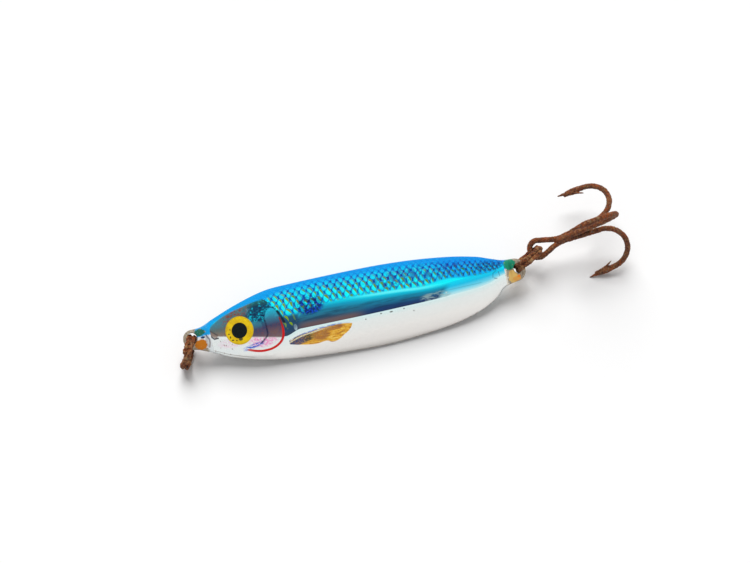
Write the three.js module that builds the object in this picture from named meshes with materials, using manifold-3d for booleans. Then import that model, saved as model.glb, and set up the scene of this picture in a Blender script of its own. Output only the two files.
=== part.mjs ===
// Casting lure lying on a table. A cast metal fish has a flat lug with a hole at each end, a split ring
// stands in each hole, and a treble hook hangs in the tail ring. The fish rests on the lower facet of
// its right flank, so its left flank faces up and forward.
// Millimetres, +Z up. The nose points to -X, the back to +Y, and the belly to -Y.

import * as THREE from 'three';
import { mergeVertices } from 'three/addons/utils/BufferGeometryUtils.js';
import Module from 'manifold-3d';

const wasm = await Module();
wasm.setup();

// Cast body, in body coordinates: s runs from the nose hole to the tail hole, h towards the back,
// and w towards the left flank. Each flank has two facets that meet in a crease below its middle.
const HOLE_SPACING = 71.2;
const NOSE_TIP = -1.95;
const TAIL_TIP = HOLE_SPACING + 1.75;
const END_ROUNDING = 2.2;
const BACK_LINE = [[-2, 2.25], [2, 2.25], [5, 3.4], [10, 5.2], [16, 6.8], [20, 7.2], [38, 7.2], [48, 6.7],
	[57, 5.6], [63, 4.3], [66, 3.2], [68.5, 2.4], [73, 2.1]];
const BELLY_LINE = [[-2, -2.05], [0.5, -2.25], [3, -3.25], [8, -5.6], [14, -7.4], [22, -8.75], [32, -9.6],
	[40, -9.95], [48, -9.6], [56, -8.7], [62, -7.1], [65.5, -5.3], [68, -3.3], [73, -2.5]];
const CREASE_LINE = [[-2, 0.1], [2, 0], [5, -0.6], [12, -2.3], [20, -2.5], [44, -2.7], [56, -2.5], [64, -1.9],
	[68, -0.7], [73, -0.2]];
const FLANK_LINE = [[-2, 1.3], [2.6, 1.35], [4, 2.0], [10, 3.2], [20, 4.1], [32, 4.4], [46, 4.25], [56, 3.7],
	[62, 2.95], [66, 2.1], [69, 1.4], [73, 1.25]];
const FACET_POWER = 1;
const BACK_FULLNESS = 1.6;
const BELLY_FULLNESS = 1.25;
const LUG_POWER = 4;
const LUG_BLEND = 6;
const BODY_TILT_DEG = 28;
const REST_FLAT_DEPTH = 0.1;
const HOLE_HALF_WIDTH = 1.3;
const HOLE_HALF_HEIGHT = 1.55;
const BODY_STATIONS = 56;
const BODY_SIDES = 36;

// Split rings: two turns of round wire side by side, with one crossover
const RING_OUTER_RADIUS = 3.65;
const RING_WIRE_RADIUS = 0.35;
const RING_PITCH = 0.74;
const RING_GAP_DEG = 26;
const RING_STEPS = 60;
const WIRE_SIDES = 8;
const NOSE_RING = { x: -1.35, y: -1.9, heading: 64, lean: 6, end: 200 };
const TAIL_RING = { x: 74.0, y: 1.45, z: 5.7, heading: 30, lean: 22, end: 75 };

// Treble hook, in hook coordinates: x along the shank from the eye's centre, z towards the top hook
const HOOK_WIRE_RADIUS = 0.54;
const HOOK_AZIMUTHS_DEG = [-30, 210, 90];
const SHANK_OFFSET = HOOK_WIRE_RADIUS / Math.cos(Math.PI / 6);
const SHANK_START = 3.9;
const SHANK_SPREAD_START = 6.5;
const BEND_CENTRE = 13.0;
const BEND_DISTANCE = 6.0;
const BEND_RADIUS = 4.7;
const POINT_STATION = 7.4;
const POINT_SPLAY_DEG = 2.7;
const POINT_LENGTH = 5.2;
const POINT_TIP_RADIUS = 0.05;
const BARB = { start: 2.0, end: 5.4, notch: 4.5, height: 1.1, root: 0.25, thickness: 0.5 };
const EYE_RADIUS = 1.87;
const EYE_SETBACK = -0.45;
const SOLDER_RADIUS = 0.72;
const SOLDER_SPAN = [3.5, 12];
const HOOK_STEP = 0.95;
const TREBLE = { x: 77.1, y: 3.15, heading: 4, pitch: 15, roll: 17.5 };

const radians = THREE.MathUtils.degToRad;

// A smooth curve through a few [station, value] pairs.
function smoothLine(pairs) {
	const slope = (i) => {
		const before = pairs[Math.max(i - 1, 0)];
		const after = pairs[Math.min(i + 1, pairs.length - 1)];
		return (after[1] - before[1]) / (after[0] - before[0]);
	};
	return (s) => {
		let i = 0;
		while (i < pairs.length - 2 && s > pairs[i + 1][0]) i++;
		const span = pairs[i + 1][0] - pairs[i][0];
		const t = THREE.MathUtils.clamp((s - pairs[i][0]) / span, 0, 1);
		const start = pairs[i][1] * (1 + 2 * t) * (1 - t) ** 2 + slope(i) * span * t * (1 - t) ** 2;
		const end = pairs[i + 1][1] * t * t * (3 - 2 * t) - slope(i + 1) * span * t * t * (1 - t);
		return start + end;
	};
}

// A closed skin over a row of equal rings, ending in a point at each end.
function loft(rings, startPoint, endPoint) {
	const sides = rings[0].length;
	const points = [...rings.flat(), startPoint, endPoint];
	const start = points.length - 2;
	const end = points.length - 1;
	const lastRing = (rings.length - 1) * sides;
	const index = [];
	for (let j = 0; j < sides; j++) {
		const next = (j + 1) % sides;
		index.push(start, next, j);
		for (let i = 0; i < lastRing; i += sides) {
			index.push(i + j, i + next, i + sides + j);
			index.push(i + next, i + sides + next, i + sides + j);
		}
		index.push(end, lastRing + j, lastRing + next);
	}
	const geometry = new THREE.BufferGeometry().setFromPoints(points);
	geometry.setIndex(index);
	return geometry;
}

// A round wire along a curve, with a radius that may change along it.
function sweep(curve, steps, radiusAt) {
	const frames = curve.computeFrenetFrames(steps);
	const rings = [];
	for (let i = 0; i <= steps; i++) {
		const centre = curve.getPointAt(i / steps);
		const ring = [];
		for (let j = 0; j < WIRE_SIDES; j++) {
			const angle = 2 * Math.PI * j / WIRE_SIDES;
			const side = frames.normals[i].clone().multiplyScalar(Math.cos(angle));
			side.addScaledVector(frames.binormals[i], Math.sin(angle));
			ring.push(centre.clone().addScaledVector(side, radiusAt(i / steps)));
		}
		rings.push(ring);
	}
	return loft(rings, curve.getPointAt(0), curve.getPointAt(1));
}

function toSolid(geometry) {
	const bare = geometry.clone();
	bare.deleteAttribute('normal');
	bare.deleteAttribute('uv');
	const merged = mergeVertices(bare);
	const mesh = new wasm.Mesh({
		numProp: 3,
		vertProperties: merged.attributes.position.array,
		triVerts: Uint32Array.from(merged.index.array),
	});
	return new wasm.Manifold(mesh);
}

function toGeometry(solid) {
	const mesh = solid.getMesh();
	const geometry = new THREE.BufferGeometry();
	geometry.setAttribute('position', new THREE.BufferAttribute(mesh.vertProperties, 3));
	geometry.setIndex(new THREE.BufferAttribute(mesh.triVerts, 1));
	geometry.computeVertexNormals();
	return geometry;
}

// Cast body

const backLine = smoothLine(BACK_LINE);
const bellyLine = smoothLine(BELLY_LINE);
const creaseLine = smoothLine(CREASE_LINE);
const flankLine = smoothLine(FLANK_LINE);

// The end lugs are round in outline: their height falls to nothing over the last stretch.
function endRounding(s) {
	const inset = Math.min(s - NOSE_TIP, TAIL_TIP - s, END_ROUNDING);
	return Math.sqrt(1 - (1 - inset / END_ROUNDING) ** 2);
}

// One cross-section of the body: two creased flanks over the fish, a flat plate over the lugs.
function bodySection(s) {
	const rounding = endRounding(s);
	const crease = creaseLine(s);
	const halfWidth = flankLine(s) * (0.35 + 0.65 * rounding);
	const fish = THREE.MathUtils.smoothstep(Math.min(s, HOLE_SPACING - s), 0, LUG_BLEND);
	const power = THREE.MathUtils.lerp(LUG_POWER, FACET_POWER, fish);
	const section = [];
	for (let j = 0; j < BODY_SIDES; j++) {
		const angle = 2 * Math.PI * j / BODY_SIDES;
		const up = Math.cos(angle);
		const reach = rounding * ((up > 0 ? backLine(s) : bellyLine(s)) - crease);
		const fullness = THREE.MathUtils.lerp(LUG_POWER, up > 0 ? BACK_FULLNESS : BELLY_FULLNESS, fish);
		const out = (1 - Math.abs(up) ** power) ** (1 / fullness);
		section.push(new THREE.Vector3(s, crease + reach * Math.abs(up), halfWidth * out * Math.sign(Math.sin(angle))));
	}
	return section;
}

function lugHole(s) {
	const outline = new THREE.Shape();
	outline.absellipse(s, 0, HOLE_HALF_WIDTH, HOLE_HALF_HEIGHT, 0, 2 * Math.PI);
	const drill = new THREE.ExtrudeGeometry(outline, { depth: 10, bevelEnabled: false, curveSegments: 10 });
	return drill.translate(0, 0, -5);
}

function bodyGeometry() {
	const sections = [];
	for (let i = 1; i < BODY_STATIONS; i++) {
		const along = (1 - Math.cos(Math.PI * i / BODY_STATIONS)) / 2;
		sections.push(bodySection(THREE.MathUtils.lerp(NOSE_TIP, TAIL_TIP, along)));
	}
	const nose = new THREE.Vector3(NOSE_TIP, creaseLine(NOSE_TIP), 0);
	const tail = new THREE.Vector3(TAIL_TIP, creaseLine(TAIL_TIP), 0);
	return toGeometry(toSolid(loft(sections, nose, tail))
		.subtract(toSolid(lugHole(0)))
		.subtract(toSolid(lugHole(HOLE_SPACING))));
}

// Everything of the body below the ground, with its lowest part worn to a small flat.
function groundedBody(name, material) {
	const mesh = named(name, bodyGeometry(), material);
	mesh.rotation.x = radians(BODY_TILT_DEG);
	standOnGround(mesh);
	mesh.position.z -= REST_FLAT_DEPTH;
	mesh.updateMatrixWorld(true);
	const ground = new THREE.BoxGeometry(90, 60, 20).translate(HOLE_SPACING / 2, 0, -10);
	ground.applyMatrix4(mesh.matrixWorld.clone().invert());
	mesh.geometry = toGeometry(toSolid(mesh.geometry).subtract(toSolid(ground)));
	return mesh;
}

// Split rings

// Two turns in parallel planes, joined by a short crossover in the middle of the wire.
class SplitRingCurve extends THREE.Curve {

	getPoint(t, target = new THREE.Vector3()) {
		const turn = THREE.MathUtils.lerp(-360 + RING_GAP_DEG, 360 - RING_GAP_DEG, t);
		const across = THREE.MathUtils.smoothstep(turn, -RING_GAP_DEG, RING_GAP_DEG) - 0.5;
		const radius = RING_OUTER_RADIUS - RING_WIRE_RADIUS;
		return target.set(
			radius * Math.cos(radians(turn)),
			RING_PITCH * across,
			radius * Math.sin(radians(turn)),
		);
	}

}

function splitRingGeometry() {
	const section = new THREE.Shape();
	section.absarc(0, 0, RING_WIRE_RADIUS, 0, 2 * Math.PI);
	return new THREE.ExtrudeGeometry(section, {
		extrudePath: new SplitRingCurve(),
		steps: RING_STEPS,
		curveSegments: WIRE_SIDES / 2,
		bevelEnabled: false,
	});
}

// Treble hook

// A point at a station along the shank and a distance from its axis, on the side of one hook.
function hookPoint(station, distance, azimuth) {
	return new THREE.Vector3(station, distance * Math.cos(azimuth), distance * Math.sin(azimuth));
}

// The way of one hook's wire from the shank round the bend to its point.
function hookWay(azimuth) {
	const way = [
		hookPoint(SHANK_START, SHANK_OFFSET, azimuth),
		hookPoint(SHANK_SPREAD_START, SHANK_OFFSET, azimuth),
	];
	const bendStart = BEND_DISTANCE - BEND_RADIUS;
	way.push(hookPoint((SHANK_SPREAD_START + BEND_CENTRE) / 2, (SHANK_OFFSET + bendStart) / 2, azimuth));
	for (let degrees = -84; degrees <= 84; degrees += 12) {
		const station = BEND_CENTRE + BEND_RADIUS * Math.cos(radians(degrees));
		const distance = BEND_DISTANCE + BEND_RADIUS * Math.sin(radians(degrees));
		way.push(hookPoint(station, distance, azimuth));
	}
	for (const share of [0, 0.5, 1]) {
		const station = THREE.MathUtils.lerp(BEND_CENTRE - 1, POINT_STATION, share);
		const splay = (BEND_CENTRE - station) * Math.tan(radians(POINT_SPLAY_DEG));
		way.push(hookPoint(station, BEND_DISTANCE + BEND_RADIUS + splay, azimuth));
	}
	return way;
}

// The eye: a round loop closing in on the two wires of the shank.
function eyeWay() {
	const level = SHANK_OFFSET * Math.sin(radians(HOOK_AZIMUTHS_DEG[0]));
	const way = [];
	for (let degrees = 60; degrees <= 300; degrees += 24) {
		const x = EYE_SETBACK + EYE_RADIUS * Math.cos(radians(degrees));
		way.push(new THREE.Vector3(x, EYE_RADIUS * Math.sin(radians(degrees)), level));
	}
	return way;
}

// The wire is full size along most of its length and sharpens at each pointed end.
function pointedRadius(fromPoint) {
	const share = THREE.MathUtils.clamp(fromPoint / POINT_LENGTH, 0, 1);
	return THREE.MathUtils.lerp(POINT_TIP_RADIUS, HOOK_WIRE_RADIUS, share);
}

function pairWire() {
	const [first, second] = HOOK_AZIMUTHS_DEG.map(radians);
	const way = [...hookWay(first).reverse(), ...eyeWay(), ...hookWay(second)];
	const curve = new THREE.CatmullRomCurve3(way, false, 'centripetal');
	const length = curve.getLength();
	return sweep(curve, Math.round(length / HOOK_STEP), (u) => pointedRadius(length * Math.min(u, 1 - u)));
}

function singleWire() {
	const curve = new THREE.CatmullRomCurve3(hookWay(radians(HOOK_AZIMUTHS_DEG[2])), false, 'centripetal');
	const length = curve.getLength();
	return sweep(curve, Math.round(length / HOOK_STEP), (u) => pointedRadius(length * (1 - u)));
}

// A sliver raised from the inner side of the point, with its free end towards the bend.
function barb(azimuth) {
	const legDistance = BEND_DISTANCE + BEND_RADIUS;
	const outline = new THREE.Shape([
		new THREE.Vector2(POINT_STATION + BARB.start, legDistance),
		new THREE.Vector2(POINT_STATION + BARB.start, legDistance - BARB.root),
		new THREE.Vector2(POINT_STATION + BARB.end, legDistance - BARB.height),
		new THREE.Vector2(POINT_STATION + BARB.notch, legDistance),
	]);
	const blade = new THREE.ExtrudeGeometry(outline, { depth: BARB.thickness, bevelEnabled: false });
	blade.translate(0, 0, -BARB.thickness / 2);
	return blade.rotateX(azimuth);
}

// Solder fills the space between the three wires of the shank.
function solder() {
	const [start, end] = SOLDER_SPAN;
	const profile = [
		new THREE.Vector2(0, start),
		new THREE.Vector2(SOLDER_RADIUS * 0.7, start + 0.3),
		new THREE.Vector2(SOLDER_RADIUS, start + 1.2),
		new THREE.Vector2(SOLDER_RADIUS, end - 2),
		new THREE.Vector2(0, end),
	];
	return new THREE.LatheGeometry(profile, WIRE_SIDES + 4).rotateZ(-Math.PI / 2);
}

function trebleGeometry() {
	let treble = toSolid(pairWire()).add(toSolid(singleWire())).add(toSolid(solder()));
	for (const degrees of HOOK_AZIMUTHS_DEG) {
		treble = treble.add(toSolid(barb(radians(degrees))));
	}
	return toGeometry(treble);
}

// Assembly

const castMetal = new THREE.MeshStandardMaterial({ color: 0x5fb4dc, roughness: 0.2, metalness: 0.6 });
const rust = { color: 0x6e3f28, roughness: 0.85, metalness: 0.2 };

function named(name, geometry, material) {
	const mesh = new THREE.Mesh(geometry, material);
	mesh.name = name;
	return mesh;
}

// Lowers a mesh until its lowest point is on the ground.
function standOnGround(mesh) {
	mesh.position.z = 0;
	mesh.updateMatrixWorld(true);
	mesh.position.z = -new THREE.Box3().setFromObject(mesh, true).min.z;
}

function splitRing(name, ring) {
	const mesh = named(name, splitRingGeometry().rotateY(radians(-ring.end)), new THREE.MeshStandardMaterial(rust));
	mesh.position.set(ring.x, ring.y, ring.z ?? 0);
	mesh.rotation.set(radians(ring.lean), 0, radians(ring.heading), 'ZXY');
	return mesh;
}

const body = groundedBody('lure_body', castMetal);

const noseRing = splitRing('nose_split_ring', NOSE_RING);
standOnGround(noseRing);

const tailRing = splitRing('tail_split_ring', TAIL_RING);

const treble = named('treble_hook', trebleGeometry(), new THREE.MeshStandardMaterial(rust));
treble.position.set(TREBLE.x, TREBLE.y, 0);
treble.rotation.set(radians(TREBLE.roll), radians(-TREBLE.pitch), radians(TREBLE.heading), 'ZYX');
standOnGround(treble);

const lure = new THREE.Group();
lure.add(body, noseRing, tailRing, treble);

// The origin is under the middle of the whole lure.
const extent = new THREE.Box3().setFromObject(lure, true);
const middle = extent.getCenter(new THREE.Vector3());
lure.position.set(-middle.x, -middle.y, 0);

export default lure;
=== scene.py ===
"""Old casting lure on a pale table: a painted metal fish, two rusty split rings and a rusty treble hook."""

import functools
import math

import bmesh
import bpy
from bpy.props import FloatProperty, FloatVectorProperty, IntProperty, PointerProperty
from mathutils import Matrix, Vector, noise
from mathutils.bvhtree import BVHTree


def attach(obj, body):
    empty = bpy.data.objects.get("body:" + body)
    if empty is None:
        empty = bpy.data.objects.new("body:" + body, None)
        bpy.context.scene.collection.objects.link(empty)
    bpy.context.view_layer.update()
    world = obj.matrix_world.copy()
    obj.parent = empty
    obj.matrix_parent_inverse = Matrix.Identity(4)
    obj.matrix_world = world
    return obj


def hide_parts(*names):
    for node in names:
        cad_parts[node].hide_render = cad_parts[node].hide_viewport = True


bl_info = {
    "name": "Casting Lure",
    "version": (1, 0, 0),
    "blender": (4, 5, 0),
    "location": "View3D > Sidebar > Lure",
    "description": "Builds a worn casting lure with its rings, treble hook and stage",
    "category": "Object",
}

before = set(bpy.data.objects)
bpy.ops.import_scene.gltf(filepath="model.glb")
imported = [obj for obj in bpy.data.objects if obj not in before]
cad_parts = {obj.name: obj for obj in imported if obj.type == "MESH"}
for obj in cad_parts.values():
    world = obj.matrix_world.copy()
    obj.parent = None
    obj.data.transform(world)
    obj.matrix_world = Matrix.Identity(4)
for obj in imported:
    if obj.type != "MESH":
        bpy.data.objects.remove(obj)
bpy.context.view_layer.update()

MM = 0.001
TO_MM = (1000, 1000, 1000)
GROUND_UNDER_NOSE_HOLE = Vector((-46.397, -3.116, 0.0))

# Fish, in millimetres: station from the nose hole, and height above the line of the holes
NOSE_TIP = -1.95
TAIL_TIP = 72.95
HOLE_SPACING = 71.2
HOLE_LEVEL = 5.097
NOSE_HOLE = GROUND_UNDER_NOSE_HOLE + Vector((0, 0, HOLE_LEVEL))
TILT_DEG = 28.0
END_ROUNDING = 2.2
SHARP_EDGE_DEG = 22
LUG_FULLNESS = 4
BACK_FULLNESS = 1.6
BELLY_FULLNESS = 1.25
EYE_RISE = 0.16
GILL_STEP = 0.14
MOUTH_DEPTH = 0.10
BACK = [(-2, 2.25), (2, 2.25), (5, 3.4), (10, 5.2), (16, 6.8), (20, 7.2), (38, 7.2), (48, 6.7),
        (57, 5.6), (63, 4.3), (66, 3.2), (68.5, 2.4), (73, 2.1)]
BELLY = [(-2, -2.05), (0.5, -2.25), (3, -3.25), (8, -5.6), (14, -7.4), (22, -8.75), (32, -9.6),
         (40, -9.95), (48, -9.6), (56, -8.7), (62, -7.1), (65.5, -5.3), (68, -3.3), (73, -2.5)]
CREASE = [(-2, 0.1), (2, 0), (5, -0.6), (12, -2.3), (20, -2.5), (44, -2.7), (56, -2.5), (64, -1.9),
          (68, -0.7), (73, -0.2)]
FLANK = [(-2, 1.25), (2.6, 1.25), (3.4, 1.85), (5, 2.3), (10, 3.2), (20, 4.1), (32, 4.4), (46, 4.25),
         (56, 3.7), (62, 2.95), (66, 2.2), (69.0, 1.75), (69.9, 1.25), (73, 1.2)]
PRINT_LEAN = (0.1, -0.063)
EYE_CENTRE = (10.33, -0.17)
EYE_RADIUS = 3.0
PUPIL_RADIUS = 1.62
# Centre and half size of each hole, and the drill's depths, each with its share of that size
LUG_HOLES = (("nose_drill", (0.0, 0.42), (1.05, 1.12)), ("tail_drill", (71.1, 0.05), (0.86, 1.0)))
DRILL_PROFILE = ((-4, 3.2), (-1.35, 1.25), (-0.95, 1.0), (0.95, 1.0), (1.35, 1.25), (4, 3.2))
NOSE_LUG_END = 3.9
TAIL_LUG_START = 68.0
HEAD_END = 19.9
GILL_EDGE = [(19.0, 1.1), (19.2, 0.4), (19.38, -0.7), (19.43, -2.0), (19.2, -3.2), (18.64, -4.12),
             (17.59, -4.9), (16.2, -5.38), (14.6, -5.47), (12.1, -4.9), (10.9, -4.45)]

# Paint lines on the flank, as pairs of station and height
# The bright line is a painted highlight; below it the flank carries a painted reflection.
HIGHLIGHT_LINE = [(0, 2.4), (18, 2.6), (26, 2.2), (32, 1.8), (37, 1.4), (45, 0.8), (52, 0.2), (60, 0.4),
               (66, 0.7), (71, 0.8)]
SCALE_EDGE = [(0, 1.5), (17, 1.5), (18.8, -2.0), (21.4, -1.5), (23, -0.3), (24.6, 1.0), (32.5, 1.75),
              (40, 1.5), (46, 1.1), (50, 0.7), (55.5, 1.2), (60, 0.6), (65.5, 0.6), (68, 1.0), (71, 1.5)]
STRIPE_EDGE = [(0, 1.2), (3.4, 0.3), (4.4, 1.75), (5.8, 2.65), (7.5, 3.4), (9.7, 4.05), (12, 4.55),
               (14, 4.95), (16.2, 5.2), (18.5, 5.7), (24, 6.2), (38, 6.3), (48, 5.8), (57, 4.6), (63, 3.5),
               (66, 2.6), (71, 1.6)]
FIN_TOP = [(19.2, -5.05), (21.2, -4.3), (23.1, -3.8), (25.3, -3.52), (27.5, -3.3), (29.7, -3.22),
           (31.9, -3.3), (34.0, -3.65)]
FIN_BOTTOM = [(19.2, -5.05), (21.5, -5.75), (23.1, -6.1), (25.7, -6.45), (28.0, -6.3), (29.1, -6.8),
              (30.4, -6.6), (31.8, -5.8), (32.9, -5.2), (34.0, -3.9)]
GILL_COVER = [(15.7, 1.6), (16.0, 0.6), (16.1, -1.0), (15.95, -2.4), (15.2, -3.1), (14.0, -3.9)]
SHOULDER_LINE = [(19.0, 2.1), (19.5, 1.0), (19.95, -0.4)]
GILL_EDGE_CENTRE = (14.4, -1.2)
GILL_COVER_CENTRE = (12.5, -1.0)

# Small marks: centre and half size, and a colour where they differ
EYE_MARKS = (((8.2, -1.2), (0.12, 0.2)), ((8.6, -1.9), (0.2, 0.12)), ((9.4, -2.1), (0.14, 0.1)),
             ((8.0, -0.5), (0.16, 0.1)), ((10.3, -2.0), (0.34, 0.26)), ((8.4, 0.4), (0.08, 0.16)))
CREASE_CHIPS = (((37.0, -3.6), (0.14, 0.1)), ((40.4, -3.1), (0.16, 0.12)), ((42.6, -3.2), (0.3, 0.13)),
                ((45.4, -3.1), (0.16, 0.1)))
LUG_PATCHES = (((1.9, 1.2), (1.1, 0.72), (24, 104, 84)), ((1.75, -1.35), (1.35, 1.1), (192, 112, 6)),
               ((2.4, 0.05), (0.5, 0.22), (14, 50, 98)), ((69.55, 1.2), (1.35, 1.2), (22, 138, 104)),
               ((69.85, -1.5), (0.98, 1.45), (222, 184, 104)), ((70.6, -2.1), (0.9, 0.5), (222, 162, 78)),
               ((71.15, -1.65), (0.34, 0.3), (236, 136, 46)))

# Rings and hook, in millimetres
RING_RADIUS = 3.3
RING_WIRE = 0.46
RING_PITCH = 0.94
RING_GAP_DEG = 26.0
# Piece, node, place of the centre, heading, lean, where the wire ends, and seed of the rust
RINGS = (("rusty_nose_ring", "nose_split_ring", (-1.35, -1.9, 3.668), 64, 6, 200, 1),
         ("rusty_tail_ring", "tail_split_ring", (74.0, 1.45, 5.7), 30, 22, 75, 2))
HOOK_WIRE = 0.6
HOOK_SIDES_DEG = (-30.0, 210.0, 90.0)
SHANK_OFFSET = 0.6235
BEND_CENTRE = 13.0
BEND_DISTANCE = 6.0
BEND_RADIUS = 4.7
POINT_STATION = 7.4
POINT_SPLAY = math.tan(math.radians(2.7))
EYE_LOOP_RADIUS = 1.87
EYE_LOOP_SETBACK = -0.45
SHANK_START = 3.9
SHANK_END = 6.5
WIRE_TIP = 0.07
TREBLE_PLACE = (77.1, 3.15, 5.939)
TREBLE_TURNS = (("Z", 4), ("Y", -15), ("X", 17.5))

# Rust and stage, in metres
HOLLOW_REACH = 0.0011
HOLLOW_START = 0.00004
TABLE_GAP = 0.00002
WINDOW_PLACE = (0.03, 0.42, 0.55)


def tint(red, green, blue):
    """A display colour in 0-255 steps as the linear RGBA that shaders use."""
    def linear(value):
        value /= 255
        return value / 12.92 if value <= 0.04045 else ((value + 0.055) / 1.055) ** 2.4
    return (linear(red), linear(green), linear(blue), 1.0)


def smoothstep(value, low, high):
    share = min(max((value - low) / (high - low), 0.0), 1.0)
    return share * share * (3 - 2 * share)


def smooth_line(pairs):
    """A smooth curve through a few pairs of station and value."""
    def slope(i):
        before, after = pairs[max(i - 1, 0)], pairs[min(i + 1, len(pairs) - 1)]
        return (after[1] - before[1]) / (after[0] - before[0])

    def value_at(station):
        i = 0
        while i < len(pairs) - 2 and station > pairs[i + 1][0]:
            i += 1
        (s0, v0), (s1, v1) = pairs[i], pairs[i + 1]
        span = s1 - s0
        t = min(max((station - s0) / span, 0.0), 1.0)
        return (v0 * (1 + 2 * t) * (1 - t) ** 2 + slope(i) * span * t * (1 - t) ** 2
                + v1 * t * t * (3 - 2 * t) - slope(i + 1) * span * t * t * (1 - t))
    return value_at


back_at, belly_at, crease_at, flank_at = map(smooth_line, (BACK, BELLY, CREASE, FLANK))


# Shader building

def formula(operation, swapped=False):
    """A maths node as an operator between a value and another value or number."""
    def result(self, other):
        pair = (other, self) if swapped else (self, other)
        return self.tree.math(operation, *pair)
    return result


class Value:
    """What a shader node gives out, for use in formulas."""

    def __init__(self, tree, socket):
        self.tree, self.socket = tree, socket

    __add__, __radd__ = formula("ADD"), formula("ADD", swapped=True)
    __sub__, __rsub__ = formula("SUBTRACT"), formula("SUBTRACT", swapped=True)
    __mul__, __rmul__ = formula("MULTIPLY"), formula("MULTIPLY", swapped=True)
    __truediv__, __rtruediv__ = formula("DIVIDE"), formula("DIVIDE", swapped=True)

    def __abs__(self):
        return self.tree.math("ABSOLUTE", self)

    def linear(self, factor, offset):
        """This value times a factor, plus an offset."""
        return self.tree.math("MULTIPLY_ADD", self, factor, offset)

    def step(self, low, high, start=0.0, end=1.0):
        """A smooth change from start to end while this value goes from low to high."""
        limits = {"Value": self, "From Min": low, "From Max": high, "To Min": start, "To Max": end}
        node = self.tree.add("ShaderNodeMapRange", limits, interpolation_type="SMOOTHSTEP", clamp=True)
        return node["Result"]

    def between(self, low, high, softness):
        """One where this value is between low and high, with soft ends."""
        return self.step(low, low + softness) * self.step(high - softness, high, 1.0, 0.0)


class Outputs:
    """The outputs of a new node, by number or by name."""

    def __init__(self, tree, node):
        self.tree, self.node = tree, node

    def __getitem__(self, key):
        return Value(self.tree, self.node.outputs[key])


class ShaderTree:
    """Adds nodes to one node tree and links them as they are made."""

    def __init__(self, tree):
        self.tree = tree

    def add(self, kind, values=(), **settings):
        node = self.tree.nodes.new(kind)
        for name, value in settings.items():
            setattr(node, name, value)
        for key, value in dict(values).items():
            self.put(node.inputs[key], value)
        return Outputs(self, node)

    def put(self, socket, value):
        if isinstance(value, Value):
            self.tree.links.new(value.socket, socket)
        else:
            socket.default_value = value

    def math(self, operation, first, second=0.0, third=0.0, clamp=False):
        numbers = {0: first, 1: second, 2: third}
        return self.add("ShaderNodeMath", numbers, operation=operation, use_clamp=clamp)[0]

    def vector(self, operation, first, second=(0, 0, 0), output="Vector"):
        return self.add("ShaderNodeVectorMath", {0: first, 1: second}, operation=operation)[output]

    def scaled(self, vector, factor):
        return self.add("ShaderNodeVectorMath", {0: vector, "Scale": factor}, operation="SCALE")["Vector"]

    def point(self, x, y):
        return self.add("ShaderNodeCombineXYZ", {0: x, 1: y})[0]

    def mix(self, share, under, over):
        """Colour over laid on colour under by share; a plain colour is in 0-255 steps."""
        under, over = (tint(*colour) if isinstance(colour, tuple) else colour for colour in (under, over))
        return self.add("ShaderNodeMix", {0: share, 6: under, 7: over}, data_type="RGBA")[2]

    def layers(self, colour, *layers):
        """Lays each layer, a share and a colour, over the one before."""
        for share, over in layers:
            colour = self.mix(share, colour, over)
        return colour

    def lerp(self, share, start, end):
        return self.add("ShaderNodeMix", {0: share, 2: start, 3: end}, data_type="FLOAT")[0]

    def most(self, *masks):
        return functools.reduce(lambda first, second: self.math("MAXIMUM", first, second), masks)

    def noise(self, point, scale, detail=3.0, roughness=0.5, distortion=0.0):
        return self.add("ShaderNodeTexNoise", {"Vector": point, "Scale": scale, "Detail": detail,
                                               "Roughness": roughness, "Distortion": distortion})["Fac"]

    def ramp(self, value, *stops):
        """A colour ramp through stops, each a place and a colour in 0-255 steps."""
        ramp = self.add("ShaderNodeValToRGB", {"Fac": value})
        elements = ramp.node.color_ramp.elements
        while len(elements) < len(stops):
            elements.new(0.5)
        for element, (place, *colour) in zip(elements, stops):
            element.position, element.color = place, tint(*colour)
        return ramp["Color"]

    def curve(self, value, pairs, low=-10.0, high=10.0, start=0.0, end=HOLE_SPACING):
        """The height of a line through pairs at a value between start and end."""
        share = self.math("DIVIDE", value - start, end - start, clamp=True)
        curve = self.add("ShaderNodeFloatCurve", {"Value": share})
        mapping = curve.node.mapping
        points = mapping.curves[0].points
        while len(points) < len(pairs):
            points.new(0.5, 0.5)
        for point, (place, height) in zip(points, pairs):
            point.location = ((place - start) / (end - start), (height - low) / (high - low))
        mapping.update()
        return curve[0].linear(high - low, low)

    def group(self, tree, values):
        return self.add("ShaderNodeGroup", values, node_tree=tree)

    def bump(self, height, strength, distance):
        return self.add("ShaderNodeBump", {"Height": height, "Strength": strength, "Distance": distance})[0]

    def surface(self, values):
        """Ends a material with one surface shader."""
        shader = self.add("ShaderNodeBsdfPrincipled", values)[0]
        self.add("ShaderNodeOutputMaterial", {"Surface": shader})

    def closed(self, results):
        """Ends a node group, with an output for each result."""
        for label, value in results.items():
            kind = "NodeSocketColor" if value.socket.type == "RGBA" else "NodeSocketFloat"
            self.tree.interface.new_socket(label, in_out="OUTPUT", socket_type=kind)
        self.add("NodeGroupOutput", results)
        return self.tree


def new_group(name, vectors, numbers):
    """A node group under way, and the values it is given."""
    tree = bpy.data.node_groups.new(name, "ShaderNodeTree")
    for kind, labels in (("NodeSocketVector", vectors), ("NodeSocketFloat", numbers)):
        for label in labels:
            tree.interface.new_socket(label, in_out="INPUT", socket_type=kind)
    shader = ShaderTree(tree)
    return shader, shader.add("NodeGroupInput")


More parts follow.
